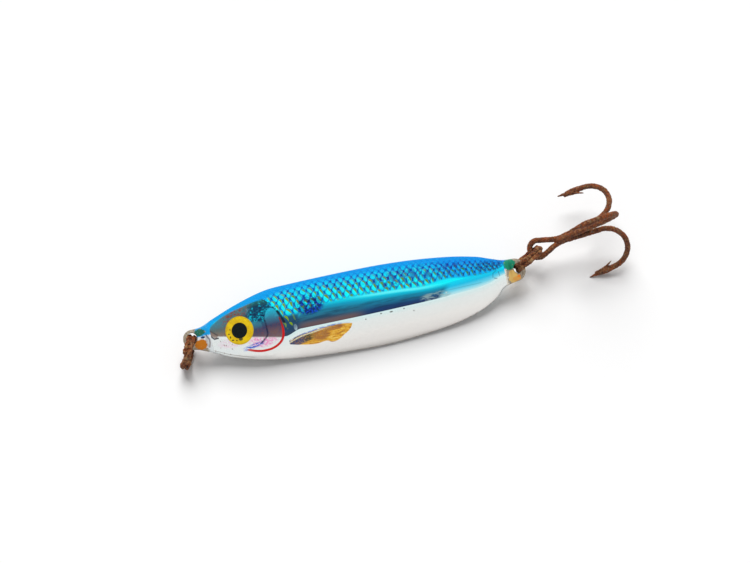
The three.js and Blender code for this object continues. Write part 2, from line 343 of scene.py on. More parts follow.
def stroke_group():
    """A painted stroke between two points."""
    t, given = new_group("Stroke", ("Point", "Start", "End"), ("Width", "Softness"))
    along = t.vector("SUBTRACT", given["End"], given["Start"])
    away = t.vector("SUBTRACT", given["Point"], given["Start"])
    share = t.math("DIVIDE", t.vector("DOT_PRODUCT", away, along, "Value"),
                   t.vector("DOT_PRODUCT", along, along, "Value"), clamp=True)
    distance = t.vector("LENGTH", t.vector("SUBTRACT", away, t.scaled(along, share)), output="Value")
    return t.closed({"Mask": distance.step(given["Width"], given["Width"] + given["Softness"], 1.0, 0.0)})


def spot_group():
    """A painted oval spot."""
    t, given = new_group("Spot", (), ("Station", "Height", "Half Length", "Half Height", "Softness"))
    along = given["Station"] / given["Half Length"]
    up = given["Height"] / given["Half Height"]
    distance = t.math("SQRT", up.linear(up, along * along))
    return t.closed({"Mask": distance.step(1.0, 1.0 + given["Softness"], 1.0, 0.0)})


def scales_group():
    """Fish scales in staggered rows: crowns, the dark net between them, and a crescent behind each one."""
    t, given = new_group("Scales", ("Point",), ("Length", "Rise"))
    wobble = t.add("ShaderNodeTexNoise", {"Vector": given["Point"], "Scale": 0.6, "Detail": 1.0})["Color"]
    shift = t.scaled(t.vector("SUBTRACT", wobble, (0.5, 0.5, 0.5)), 0.9)
    point = t.add("ShaderNodeSeparateXYZ", {0: t.vector("ADD", given["Point"], shift)})
    # The scales get smaller towards the tail.
    late = t.math("MAXIMUM", point[0] - 45.0, 0.0)
    u = point[0] / given["Length"] + late * late * 0.0062
    v = point[1] * (1.0 / given["Rise"] + late * 0.0035)
    a, b = u + v, u - v
    x = t.math("FRACT", a).linear(2.0, -1.0)
    y = t.math("FRACT", b).linear(2.0, -1.0)

    def oval(x_centre, x_half, y_half):
        across = (x - x_centre) / x_half
        along = y / y_half
        return across.linear(across, along * along)

    corner = t.math("POWER", abs(x), 3.0) + t.math("POWER", abs(y), 3.0)
    bend = (y * y).linear(-0.4, 0.52)
    cell = t.point(t.math("FLOOR", a), t.math("FLOOR", b))
    tone = t.add("ShaderNodeTexWhiteNoise", {"Vector": cell}, noise_dimensions="2D")["Value"]
    return t.closed({"Outline": corner.step(0.5, 1.25), "Crescent": oval(bend, 0.34, 0.86).step(1.25, 0.6),
                     "Tone": tone, "Crown": oval(-0.14, 0.84, 0.92).step(1.3, 0.45)})


def specks_group():
    """Small scattered specks, such as pinholes in paint."""
    t, given = new_group("Specks", ("Point",), ("Spacing", "Size", "Share"))
    cells = t.add("ShaderNodeTexVoronoi", {"Vector": given["Point"], "Scale": 1.0 / given["Spacing"],
                                           "Randomness": 1.0})
    chance = t.add("ShaderNodeSeparateColor", {0: cells["Color"]})[0]
    dot = cells["Distance"].step(given["Size"] * 0.6, given["Size"], 1.0, 0.0)
    return t.closed({"Mask": dot * t.math("LESS_THAN", chance, given["Share"])})


def rust_group():
    """Flaking rust over steel wire: dark in pits, paler on crusts and where metal shows, with painted shade
    in the grooves between wires and a painted highlight on the olive patches.
    """
    t, given = new_group("Rust", ("Point",), ("Crust", "Hollow", "Worn"))
    point = given["Point"]
    broad, fine = t.noise(point, 0.7, 3.0, 0.6, 0.4), t.noise(point, 3.6, 5.0, 0.72)
    crust = given["Crust"].linear(0.26, fine * 0.86)
    colour = t.ramp(crust, (0.26, 30, 15, 12), (0.38, 66, 31, 18), (0.5, 98, 50, 28), (0.6, 120, 68, 36),
                    (0.7, 142, 92, 56), (0.82, 160, 122, 86))
    orange = broad.step(0.5, 0.62) * fine.step(0.4, 0.54)
    # Olive rust patches, lightened on raised crust as a painted highlight.
    olive = t.noise(point, 1.5, 4.0, 0.65, 0.5).step(0.52, 0.63)
    bare = t.noise(point, 2.6, 4.0, 0.7, 0.3).step(0.56, 0.66) * given["Worn"]
    # The last layer darkens points hemmed in by nearby wire: painted shade in the grooves between wires.
    colour = t.layers(colour, (orange * 0.6, (150, 68, 22)),
                      (olive * 0.55, t.mix(crust.step(0.4, 0.75), (70, 52, 30), (150, 130, 88))),
                      (bare * 0.8, (126, 130, 122)),
                      (given["Hollow"].step(0.35, 0.95, 0.0, 0.85), (34, 20, 16)))
    return t.closed({"Color": colour, "Roughness": t.lerp(bare, fine.step(0.3, 0.8, 0.58, 0.88), 0.4),
                     "Metal": bare * 0.6, "Height": fine})


def new_material(name):
    material = bpy.data.materials.new(name)
    material.use_nodes = True
    material.node_tree.nodes.clear()
    return material, ShaderTree(material.node_tree)


def rust_material(name, rust, worn, relief):
    material, t = new_material(name)
    place = t.add("ShaderNodeTexCoord")["Object"]
    point = t.add("ShaderNodeMapping", {"Vector": place, "Scale": TO_MM})[0]
    crust = t.add("ShaderNodeAttribute", attribute_name="crust")["Fac"]
    hollow = t.add("ShaderNodeAttribute", attribute_name="hollow")["Fac"]
    rusted = t.group(rust, {"Point": point, "Crust": crust, "Hollow": hollow, "Worn": worn})
    t.surface({"Base Color": rusted["Color"], "Roughness": rusted["Roughness"], "Metallic": rusted["Metal"],
               "Normal": t.bump(rusted["Height"], 1.0, relief), "Specular IOR Level": 0.35})
    return material


# Fish paint

class FishPaint:
    """Lays the paint of the fish on its flank, layer by layer, in the fish's own station and height."""

    def __init__(self, name, groups, settings):
        self.settings, self.groups = settings, groups
        self.material, self.t = new_material(name)
        t = self.t
        place = t.add("ShaderNodeTexCoord")["Object"]
        turn = Matrix.Rotation(math.radians(-TILT_DEG), 3, "X")
        self.body = t.add("ShaderNodeMapping", {"Vector": place, "Scale": TO_MM,
                                                "Rotation": (math.radians(-TILT_DEG), 0, 0),
                                                "Location": -(turn @ NOSE_HOLE)})[0]
        s, h, w = t.add("ShaderNodeSeparateXYZ", {0: self.body})
        # The print leans a little over the round flank, the same way on both sides.
        self.side = abs(w)
        self.s = self.side.linear(PRINT_LEAN[0], s)
        self.h = self.side.linear(PRINT_LEAN[1], h)
        self.flat = t.point(self.s, self.h)

    def line(self, points, width, softness):
        """A painted line through points."""
        strokes = [self.t.group(self.groups["stroke"], {"Point": self.flat, "Start": (*start, 0),
                                                        "End": (*end, 0), "Width": width / 2,
                                                        "Softness": softness})[0]
                   for start, end in zip(points, points[1:])]
        return self.t.most(*strokes)

    def oval(self, centre, half_size, softness):
        along, up = self.s - centre[0], self.h - centre[1]
        return self.t.group(self.groups["spot"], {"Station": along, "Height": up, "Half Length": half_size[0],
                                                  "Half Height": half_size[1], "Softness": softness})[0]

    def arc(self, centre, points, width, softness):
        """A painted line that curls round a centre."""
        t = self.t
        turns = sorted((math.atan2(height - centre[1], station - centre[0]),
                        math.dist((station, height), centre)) for station, height in points)
        away, up = self.s - centre[0], self.h - centre[1]
        turn = t.math("ARCTAN2", up, away)
        reach = t.math("SQRT", up.linear(up, away * away))
        ends = turns[0][0], turns[-1][0]
        across = abs(reach - t.curve(turn, turns, 2.0, 7.0, *ends))
        half = width * 0.5
        return across.step(half, half + softness, 1.0, 0.0) * turn.between(*ends, 0.12)

    def noise(self, scale, detail, roughness=0.5):
        return self.t.noise(self.body, scale, detail, roughness)

    def stretched(self, along, up):
        """The flank's coordinates drawn out along the fish."""
        return self.t.vector("MULTIPLY", self.body, (along, up, 1.0))

    def streaks(self, along, up, detail, roughness):
        return self.t.noise(self.stretched(along, up), 1.0, detail, roughness)

    def specks(self, spacing, size, share, point=None):
        return self.t.group(self.groups["specks"], {"Point": point or self.body, "Spacing": spacing,
                                                    "Size": size, "Share": share})[0]

    def flank_colour(self):
        """Blue back fading to a bright cyan line that is a painted highlight, then to navy above the crease
        as a painted reflection, and silver below it.
        """
        t, s, h = self.t, self.s, self.h
        # Near the gill the painted edge dips below the crease itself.
        self.crease = t.curve(s, CREASE) + s.step(23.2, 19.7, 0.0, -0.95)
        self.bright = t.curve(s, HIGHLIGHT_LINE)
        self.back = t.curve(s, BACK)
        above = (h - self.bright) / (self.back - self.bright)
        # Above the line: cyan, brightest where the painted highlight falls, deepening to blue at the back.
        upper = t.ramp(above, (0.0, 0, 246, 255), (0.3, 0, 222, 252), (0.55, 0, 180, 250),
                       (0.78, 0, 158, 240), (1.0, 0, 140, 226))
        # Below the line: a painted reflection darkening through teal to navy at the crease, with dark streaks
        # in it; grey is its front version.
        below = (self.bright - h) / (self.bright - self.crease)
        shade = t.ramp(below, (0.0, 0, 236, 250), (0.16, 0, 186, 216), (0.38, 14, 134, 168),
                       (0.6, 24, 100, 136), (0.8, 20, 58, 108), (1.0, 26, 46, 90))
        grey = t.ramp(below, (0.0, 0, 222, 244), (0.22, 8, 156, 192), (0.48, 30, 116, 146),
                      (0.74, 42, 86, 112), (1.0, 50, 62, 84))
        streak = self.streaks(0.12, 1.6, 3.0, 0.6)
        # A brown painted reflection low in the band, in front.
        brown = s.between(21, 38, 4) * below.step(0.66, 0.9)
        # Towards the tail the band turns pale: a painted reflection of the bright room.
        tail = t.ramp(below, (0.0, 0, 218, 248), (0.35, 20, 192, 232), (0.7, 110, 212, 236),
                      (1.0, 196, 234, 238))
        wedge = below * -3.0 + 56.5
        # A pale painted reflection of things in the room, near the tail.
        reflected_clutter = (self.oval((52.6, -2.0), (2.6, 0.75), 0.5)
                   * self.streaks(0.8, 4.0, 4.0, 0.7).step(0.47, 0.56))
        # A small painted highlight behind the gill.
        glint = self.oval((22.1, -2.0), (0.28, 0.5), 0.6) * 0.85
        shade = t.layers(shade, (s.step(39, 34), grey),
                         (streak.step(0.5, 0.64) * below.step(0.2, 0.5) * 0.5, (12, 30, 66)),
                         (brown * 0.75, (112, 86, 82)), ((s - wedge).step(-1.2, 0.8), tail),
                         (reflected_clutter * 0.75, (150, 176, 176)), (glint, (206, 234, 238)))
        flank = t.mix((h - self.bright).step(-0.06, 0.06), shade, upper)
        # A painted highlight along the bright line.
        glow = abs(h - self.bright).step(0.5, 0.05) * s.between(33, 56, 9)
        flank = t.mix(glow * 0.6, flank, (120, 250, 255))
        depth = self.crease - h
        # The silver belly greys towards the keel: painted shade.
        belly = t.ramp(depth / 7.4, (0.0, 216, 242, 242), (0.16, 234, 240, 238), (0.5, 238, 236, 232),
                       (0.8, 228, 224, 220), (1.0, 200, 196, 190))
        self.below_crease = depth.step(-0.04, 0.05)
        return flank, belly, above

    def add_scales(self, colour, above):
        t, s, h = self.t, self.s, self.h
        # The rows close up where the flank turns over into the back.
        turned = t.math("MAXIMUM", h - self.back + 4.0, 0.0)
        row = t.point(s, h + turned * turned * 0.13)
        scales = t.group(self.groups["scales"], {"Point": row, "Length": 1.52, "Rise": 2.66})
        edge = h - t.curve(s, SCALE_EDGE)
        area = (edge.step(-0.35, 0.35) * s.step(16.6, 18.0) * s.step(68.6, 67.0)
                * above.step(0.66, 0.92, 1.0, 0.3))
        patch = self.noise(0.28, 3.0, 0.6)
        self.rear = s.step(50.0, 58.0)
        crown = t.mix(self.rear, (0, 250, 255), (0, 186, 250))
        # Behind the gill the ground is darkened as a painted reflection, and only the crescents show on it.
        lit = area * t.most(s.step(22.6, 25.0), h.step(0.3, 1.5))
        dark = self.oval((21.0, -0.6), (1.5, 1.5), 0.9) * (1 - lit * 0.8)
        outline = (lit * scales["Outline"] * patch.step(0.34, 0.6, 0.75, 1.0)
                   * above.step(0.05, 0.3, 0.75, 1.0))
        net = t.mix(patch.step(0.48, 0.6), (0, 50, 140), (40, 30, 122))
        green = t.mix(scales["Tone"], (74, 142, 40), (122, 146, 20))
        green = t.mix(self.rear, t.mix(s.step(24, 21), green, (128, 160, 6)), (56, 122, 66))
        gold = (area * scales["Crescent"] * above.step(0.78, 0.5)
                * scales["Tone"].step(0.02, 0.3, 0.5, 1.0))
        colour = t.layers(colour, (dark * 0.75, (26, 58, 94)),
                          (lit * 0.75, t.mix(self.rear, (0, 150, 236), (0, 104, 226))),
                          (lit * above.step(0.95, 0.25, 0.35, 1.0) * scales["Crown"]
                           * scales["Tone"].step(0.0, 0.5, 0.7, 1.0), crown),
                          (outline, t.mix(self.rear * 0.7, net, (8, 26, 118))), (gold, green))
        self.scale_area = area
        self.scale_height = area * (scales["Crown"] - scales["Outline"] * 0.6)
        return colour

    def add_blotches(self, colour):
        """Dark patches printed over the scales, thinner on their crowns."""
        t = self.t
        blotch = self.oval((26.0, 1.9), (2.3, 1.55), 0.5) * self.noise(1.5, 4.0, 0.7).step(0.38, 0.47)
        ink = t.mix(self.noise(2.2, 3.0, 0.7).step(0.5, 0.6), (2, 16, 92), (0, 66, 214))
        dusk = (self.oval((50.0, 3.4), (7.5, 1.3), 0.9)
                * self.noise(0.8, 4.0, 0.7).step(0.46, 0.58) * self.scale_area)
        end = self.oval((65.6, 1.9), (2.6, 0.8), 0.7) * self.noise(1.6, 3.0, 0.6).step(0.42, 0.55)
        return t.layers(colour, (blotch * self.scale_height.step(0.3, 0.9, 0.95, 0.6), ink),
                        (dusk * 0.62, (26, 40, 150)), (end * 0.6, (10, 40, 110)))

    def add_stripe(self, colour):
        """The plain blue stripe along the back."""
        t, s, h = self.t, self.s, self.h
        self.stripe = (h - t.curve(s, STRIPE_EDGE)).step(-0.5, 0.6)
        hue = t.mix(s.step(4, 30), (0, 160, 230), (0, 146, 230))
        return t.mix(self.stripe * s.step(16, 24, 1.0, 0.62), colour, hue)

    def add_head(self, colour):
        """The cheek: mottled above, silver below, with its plates and gill cover."""
        t, s, h = self.t, self.s, self.h
        nape = t.math("MAXIMUM", h - 1.9, 0.0).linear(0.78, s)
        frayed = self.noise(1.1, 3.0, 0.7) - 0.5
        nape = (frayed * h.step(1.9, 3.2)).linear(6.0, nape)
        above_stripe = (h - t.curve(s, STRIPE_EDGE)).step(-0.12, 0.3)
        head = (1 - above_stripe) * nape.step(19.4, 19.1) * h.step(-5.8, -4.2)
        mottle = self.noise(2.3, 4.0, 0.72)
        front = t.ramp(mottle, (0.34, 34, 78, 94), (0.43, 74, 126, 134), (0.51, 118, 88, 80),
                       (0.6, 128, 58, 52))
        rear = t.ramp(mottle, (0.36, 6, 36, 66), (0.45, 0, 84, 112), (0.56, 0, 124, 150),
                      (0.68, 0, 184, 214))
        dark = self.noise(0.9, 3.0, 0.65)
        rear = t.layers(rear, (dark.step(0.48, 0.54) * 0.85, (6, 28, 72)),
                        (dark.step(0.47, 0.42) * mottle.step(0.48, 0.58) * 0.9, (0, 200, 224)))
        upper = t.mix(h.linear(-0.55, s).step(9.4, 11.8), front, rear)
        snout = t.ramp(h.linear(0.3, 0.4), (0.0, 176, 172, 168), (0.32, 132, 118, 104),
                       (0.65, 88, 106, 104), (1.0, 62, 128, 146))
        upper = t.layers(upper, (s.step(10.5, 13.0) * h.step(3.7, 4.9) * 0.38, (52, 132, 112)),
                         (s.step(8.6, 6.2) * 0.85, snout))
        lower = t.ramp(h.linear(0.25, 0.75), (0.0, 120, 96, 98), (0.3, 84, 74, 96), (0.6, 50, 60, 98),
                       (0.9, 34, 96, 122))
        cheek = t.mix(h.step(1.3, 0.1) * s.step(10.5, 12.0), upper, lower)
        # The gill plate brightens to cyan at its top: a painted reflection.
        plate = self.oval((17.55, 0.3), (1.5, 2.7), 0.1)
        plated = t.ramp(h.linear(0.2, 0.4), (0.0, 112, 86, 86), (0.3, 60, 60, 92), (0.55, 58, 112, 140),
                        (0.95, 30, 190, 220))
        stain = mottle.step(0.48, 0.6) * h.step(0.6, -0.8) * 0.4
        small = self.oval((14.0, -0.2), (1.15, 1.1), 0.2) * h.step(-1.1, 0.5)
        chin = s.linear(-0.227, 0.9)
        silver = t.mix(self.noise(0.9, 3.0, 0.6), (222, 232, 234), (238, 240, 236))
        cheek = t.layers(cheek, (plate * 0.85, plated), (stain, (126, 66, 64)),
                         (small * 0.6, (60, 130, 150)), ((chin - h).step(-0.12, 0.3), silver))
        below_chin = (chin - h).step(0.0, 0.3)
        pink = (t.most(self.oval((14.9, -3.3), (2.2, 1.0), 0.7), self.oval((8.3, -2.4), (2.0, 0.7), 0.9))
                * self.noise(2.2, 4.0, 0.8).step(0.42, 0.54) * below_chin)
        sweep = (s - 13.0).linear(-0.17, h)
        blue = (abs(sweep + 3.95).step(0.6, 0.25) * s.between(9.8, 15.6, 1.6)
                * self.streaks(1.6, 3.4, 3.0, 0.75).step(0.42, 0.52))
        return t.layers(colour, (head, cheek), (pink * s.step(9.0, 13.0, 0.28, 0.85), (238, 128, 190)),
                        (blue * 0.92, (38, 92, 204)))

    def add_lines(self, colour):
        """The mouth, the edge of the gill cover and the red gill edge."""
        t, s, h = self.t, self.s, self.h
        broken = self.noise(2.2, 3.0, 0.7).step(0.3, 0.5, 0.45, 1.0)
        cover = self.arc(GILL_COVER_CENTRE, GILL_COVER, 0.14, 0.2)
        jaw = self.line([(4.25, 0.55), (5.15, -0.4)], 0.62, 0.16)
        lips = t.most(self.line([(3.75, 0.3), (4.8, -0.85), (5.6, -0.82)], 0.15, 0.16),
                      self.line([(4.1, 1.1), (5.5, -0.15)], 0.08, 0.16) * 0.7)
        red = self.arc(GILL_EDGE_CENTRE, GILL_EDGE, h.step(-2.6, 0.4, 0.34, 0.2), 0.16)
        hue = t.mix(h.step(-2.2, 0.2), t.mix(s.step(13.0, 11.2), (202, 18, 10), (206, 96, 88)),
                    (128, 36, 30))
        return t.layers(colour, (cover * broken * 0.85, (24, 26, 60)), (jaw * 0.85, (140, 122, 112)),
                        (lips * 0.9, (36, 34, 44)), (red, hue))

    def add_shoulder(self, colour):
        t = self.t
        return t.mix(self.line(SHOULDER_LINE, 0.26, 0.3) * 0.92, colour, (4, 18, 34))

    def add_fin(self, colour):
        """The side fin: navy at its root, then gold with brown patches and a broken blue margin."""
        t, s, h = self.t, self.s, self.h
        top, bottom = t.curve(s, FIN_TOP), t.curve(s, FIN_BOTTOM)
        from_top = top - h
        inside = (from_top.step(0.0, 0.16) * (h - bottom).step(-0.08, 0.12) * s.step(19.3, 19.8)
                  * s.step(34.1, 33.8))
        angle = t.math("ARCTAN2", h + 4.4, s - 13.0)
        ray = t.point(s * 0.5, angle * 46.0)
        rays = t.noise(ray, 1.0, 3.0, 0.6, 0.2)
        dots = self.noise(2.6, 4.0, 0.8)
        fin = t.ramp(dots.linear(0.45, rays * 0.6), (0.37, 92, 56, 0), (0.45, 190, 124, 0),
                     (0.54, 230, 168, 0), (0.66, 240, 212, 110))
        brown = (t.most(self.oval((27.0, -4.7), (1.3, 0.9), 0.7),
                        self.oval((29.8, -3.75), (1.7, 0.4), 0.7)) * dots.step(0.34, 0.52))
        low = s.linear(-0.19, h + 9.28)
        root = s.step(26.2, 24.4) * abs(low).step(0.95, 0.6)
        fin = t.layers(fin, (brown * 0.75, (140, 74, 38)),
                       (root * dots.step(0.38, 0.52, 0.25, 1.0),
                        t.mix(s.step(22.6, 24.2), (18, 48, 100), (54, 46, 22))),
                       (from_top.between(0.16, 0.52, 0.12) * dots.step(0.4, 0.5) * s.step(30, 26),
                        (222, 218, 186)))
        margin = (abs(from_top).step(0.24, 0.06) * s.step(19.0, 19.6) * s.step(33, 30, 0.2, 1.0)
                  * s.step(34.0, 33.6) * self.streaks(1.3, 2.0, 3.0, 0.7).step(0.42, 0.52))
        return t.layers(colour, (inside * rays.step(0.2, 0.34, 0.6, 0.97), fin),
                        (margin * 0.85, t.mix(s.step(21, 25), (34, 52, 92), (96, 132, 204))))

    def add_eye(self, colour):
        t = self.t
        iris = self.oval(EYE_CENTRE, (EYE_RADIUS - 0.04,) * 2, 0.03)
        pupil = self.oval(EYE_CENTRE, (PUPIL_RADIUS,) * 2, 0.05)
        yellow = t.mix(self.noise(0.7, 2.0).step(0.35, 0.65), (232, 196, 0), (212, 172, 0))
        rim = 1 - self.oval(EYE_CENTRE, (EYE_RADIUS - 0.38,) * 2, 0.12)
        yellow = t.mix(rim * 0.35, yellow, (160, 146, 10))
        colour = t.layers(colour, (iris, yellow), (pupil, (4, 4, 4)))
        for centre, size in EYE_MARKS:
            colour = t.mix(self.oval(centre, size, 0.6) * 0.85, colour, (34, 30, 14))
        return colour

    def lug_colour(self):
        """The lugs: paint left in patches on worn grey metal."""
        t, s, h = self.t, self.s, self.h
        ragged = (self.noise(1.9, 4.0, 0.75) - 0.5) * 2.0
        from_nose = s + ragged
        metal = t.ramp(self.noise(2.2, 5.0, 0.7), (0.3, 108, 94, 80), (0.5, 158, 146, 128),
                       (0.7, 198, 188, 168))
        blue = t.mix(s.step(30, 50), (0, 156, 224), (0, 128, 226))
        white = t.mix(s.step(30, 50), (226, 232, 234), (232, 226, 212))
        paint = t.mix((h + ragged * 0.4).step(0.15, 0.5), white, blue)
        covered = from_nose.step(h.step(-2.4, -1.9, 2.9, 0.9), h.step(-2.4, -1.9, 3.2, 1.3))
        painted = covered * from_nose.step(h.step(1.4, 2.0, 68.8, 69.6), h.step(1.4, 2.0, 68.4, 69.2))
        colour = t.mix(painted, metal, paint)
        for centre, size, hue in LUG_PATCHES:
            patch = self.oval(centre, (size[0] * 0.75, size[1] * 0.75), 0.7)
            edge = (patch + ragged * 1.2).step(0.25, 0.8)
            colour = t.mix(edge, colour, hue)
        self.lug = 1 - painted
        seam = self.line([(3.25, 0.25), (3.72, -0.6), (3.7, -1.4), (3.4, -2.2)], 0.12, 0.22)
        return t.mix(seam * 0.75, colour, t.mix(h.step(-1.4, -0.4), (120, 104, 98), (58, 66, 104)))

    def add_specks(self, colour):
        """Pinholes in the paint, pale specks that are painted glints, and grime along the keel's seam."""
        t, s, h = self.t, self.s, self.h
        dots = self.specks(2.6, 0.075, 0.3)
        # Pale specks above the crease: painted glints.
        pale = self.specks(3.4, 0.045, 0.3)
        grime = self.specks(0.9, 0.3, 0.55, self.stretched(1.5, 0.9))
        keel = h - t.curve(s, BELLY)
        seam = (self.side.step(0.32, 0.12) * keel.step(1.2, 0.4)
                * self.noise(2.0, 4.0, 0.8).step(0.46, 0.56))
        self.dirt = t.most(dots, seam)
        line = abs(keel - 0.55).step(0.14, 0.04) * s.between(3.4, 13.0, 1.5)
        return t.layers(colour, (dots * 0.75, (58, 52, 48)),
                        (pale * (h - self.crease).step(0.0, 0.3) * s.step(20, 22) * 0.8, (214, 236, 240)),
                        (grime * h.step(-0.6, -1.4) * s.step(10.0, 7.0) * 0.7, (124, 84, 66)),
                        (line * 0.55, (120, 112, 104)), (seam * 0.55, (140, 112, 92)))

    def add_scratches(self, colour):
        """Chips along the crease, red specks under the fin and scratches near the tail."""
        t, s, h = self.t, self.s, self.h
        along_crease = (self.specks(1.1, 0.15, 0.2) * abs(h - self.crease).step(0.7, 0.3)
                        * s.between(34, 54, 4))
        chips = t.most(*(self.oval(centre, size, 0.4) for centre, size in CREASE_CHIPS))
        red = self.specks(0.55, 0.2, 0.35) * self.oval((33.8, -7.2), (1.0, 0.3), 0.4)
        scratches = t.most(self.line([(66.5, 0.5), (65.7, 0.1), (65.5, -0.8)], 0.04, 0.12),
                           self.line([(66.9, 0.2), (67.0, -0.7)], 0.04, 0.12),
                           self.line([(65.8, -1.0), (66.3, -1.2)], 0.08, 0.14))
        hairline = self.line([(50.0, -1.4), (62.8, -1.3)], 0.03, 0.12) * 0.35
        return t.layers(colour, (t.most(along_crease, chips) * 0.75, (58, 52, 48)),
                        (red * 0.6, (214, 130, 110)), (scratches * 0.55, (40, 60, 80)),
                        (hairline, (60, 110, 130)))

    def foil_surface(self, colour, painted):
        """Glossy lacquer over foil, which is duller where opaque paint covers it."""
        t = self.t
        grain = self.noise(7.0, 2.0, 0.6).step(0.35, 0.7, 0.0, 0.1)
        colour = t.mix(grain, colour, (60, 96, 110))
        metal = painted.linear(-0.25, 1.0) * self.settings.foil
        rough = self.dirt.linear(0.25, t.lerp(self.below_crease, 0.24, 0.16))
        height = self.scale_height.linear(0.35, self.noise(0.8, 2.0, 0.4) * 0.5)
        t.surface({"Base Color": colour, "Metallic": metal, "Roughness": rough, "Coat Weight": 0.15,
                   "Coat Roughness": 0.08, "Specular IOR Level": 0.2, "Specular Tint": (0.42, 0.5, 0.58, 1.0),
                   "Normal": t.bump(height, 0.5, 0.00009)})
        return self.material


def head_paint(groups, settings):
    paint = FishPaint("head_paint", groups, settings)
    flank, belly, above = paint.flank_colour()
    flank = paint.add_stripe(paint.add_scales(flank, above))
    colour = paint.add_head(paint.t.mix(paint.below_crease, flank, belly))
    colour = paint.add_specks(paint.add_shoulder(paint.add_lines(colour)))
    colour = paint.add_eye(colour)
    return paint.foil_surface(colour, paint.stripe)


def flank_paint(groups, settings):
    paint = FishPaint("flank_paint", groups, settings)
    flank, belly, above = paint.flank_colour()
    flank = paint.add_stripe(paint.add_blotches(paint.add_scales(flank, above)))
    colour = paint.add_fin(paint.t.mix(paint.below_crease, flank, belly))
    colour = paint.add_scratches(paint.add_specks(paint.add_shoulder(colour)))
    return paint.foil_surface(colour, paint.stripe)


def lug_paint(groups, settings):
    paint = FishPaint("lug_paint", groups, settings)
    t = paint.t
    colour = paint.lug_colour()
    t.surface({"Base Color": colour, "Metallic": 0.6, "Roughness": t.lerp(paint.lug, 0.3, 0.5),
               "Normal": t.bump(paint.noise(3.0, 4.0, 0.7), 0.6, 0.0001)})
    return paint.material


# Mesh building

def new_piece(name, builder, material=None, smooth=True):
    """A finished mesh object at the origin, made from a bmesh in metres."""
    mesh = bpy.data.meshes.new(name)
    builder.to_mesh(mesh)
    builder.free()
    if smooth:
        mesh.polygons.foreach_set("use_smooth", [True] * len(mesh.polygons))
    piece = bpy.data.objects.new(name, mesh)
    bpy.context.scene.collection.objects.link(piece)
    if material:
        mesh.materials.append(material)
    return piece


def applied(piece):
    """The piece with its modifiers made part of its mesh."""
    seen = piece.evaluated_get(bpy.context.evaluated_depsgraph_get())
    mesh = bpy.data.meshes.new_from_object(seen)
    old = piece.data
    piece.modifiers.clear()
    piece.data = mesh
    mesh.name = piece.name
    bpy.data.meshes.remove(old)
    return piece


def angles(count):
    return [2 * math.pi * i / count for i in range(count)]


def lie(place, *turns):
    """From a piece's own millimetres to where it lies, in metres."""
    matrix = Matrix.Translation((GROUND_UNDER_NOSE_HOLE + Vector(place)) * MM)
    for axis, degrees in turns:
        matrix = matrix @ Matrix.Rotation(math.radians(degrees), 4, axis)
    return matrix @ Matrix.Scale(MM, 4)


def ring_tube(builder, rings, start_tip=None, end_tip=None):
    """A tube through rings of points: one circle, extruded from ring to ring."""
    start = verts = bmesh.ops.create_circle(builder, segments=len(rings[0]), radius=1.0)["verts"]
    edges = list({edge for vert in start for edge in vert.link_edges})
    for vert, place in zip(start, rings[0]):
        vert.co = place
    for ring in rings[1:]:
        grown = bmesh.ops.extrude_edge_only(builder, edges=edges)["geom"]
        verts = [item for item in grown if isinstance(item, bmesh.types.BMVert)]
        edges = [item for item in grown if isinstance(item, bmesh.types.BMEdge)
                 and item.verts[0] in verts and item.verts[1] in verts]
        for vert, place in zip(verts, ring):
            vert.co = place
    for ring, tip in ((start, start_tip), (verts, end_tip)):
        if tip is None:
            bmesh.ops.contextual_create(builder, geom=ring)
        else:
            bmesh.ops.pointmerge(builder, verts=ring, merge_co=tip)
    return builder


def section(s, sides):
    """One cross-section of the fish, with its eye raised and its gill plate stepped."""
    inset = min(s - NOSE_TIP, TAIL_TIP - s, END_ROUNDING)
    rounding = math.sqrt(1 - (1 - inset / END_ROUNDING) ** 2)
    crease, back, belly = crease_at(s), back_at(s), belly_at(s)
    half_width = flank_at(s) * (0.35 + 0.65 * rounding)
    fish = smoothstep(min(s, HOLE_SPACING - s), 0.5, 5.5)
    power = LUG_FULLNESS + (1 - LUG_FULLNESS) * fish
    ring = []
    for angle in angles(sides):
        up = math.cos(angle)
        reach = rounding * ((back if up > 0 else belly) - crease)
        fullness = BACK_FULLNESS if up > 0 else BELLY_FULLNESS
        fullness = LUG_FULLNESS + (fullness - LUG_FULLNESS) * fish
        share = abs(up) if abs(up) > 1e-9 else 0.0
        out = max(1 - share ** power, 0.0) ** (1 / fullness)
        h = crease + reach * share
        w = half_width * out
        if w > 0.3:
            w += relief(s + PRINT_LEAN[0] * w, h + PRINT_LEAN[1] * w) * smoothstep(w, 0.3, 1.2)
        ring.append(body_point(s, h, math.copysign(w, math.sin(angle)) if out else 0.0))
    return ring


def gill_station(h):
    """The station of the gill plate's rear edge at a height."""
    return 19.3 - 0.10 * (h + 1.4) ** 2


def relief(s, h):
    """How far the surface stands out from the plain flank."""
    from_eye = math.hypot(s - EYE_CENTRE[0], h - EYE_CENTRE[1]) / EYE_RADIUS
    raised = 0.0
    if from_eye < 1:
        raised += EYE_RISE * (1 - from_eye ** 4)
    elif from_eye < 1.12:
        raised -= 0.05 * (1 - abs(from_eye - 1.06) / 0.06)
    edge = gill_station(h) - s
    raised += GILL_STEP * smoothstep(edge, -0.16, 0.10) * smoothstep(s, 5.0, 14.0)
    mouth = abs((s - 4.6) + (h - 0.05)) / 1.414
    if 3.7 < s < 5.8 and -1.2 < h < 1.2:
        raised -= MOUTH_DEPTH * (1 - smoothstep(mouth, 0.05, 0.35))
    return raised


FROM_BODY = lie((0, 0, HOLE_LEVEL), ("X", TILT_DEG))


def body_point(s, h, w):
    return FROM_BODY @ Vector((s, h, w))


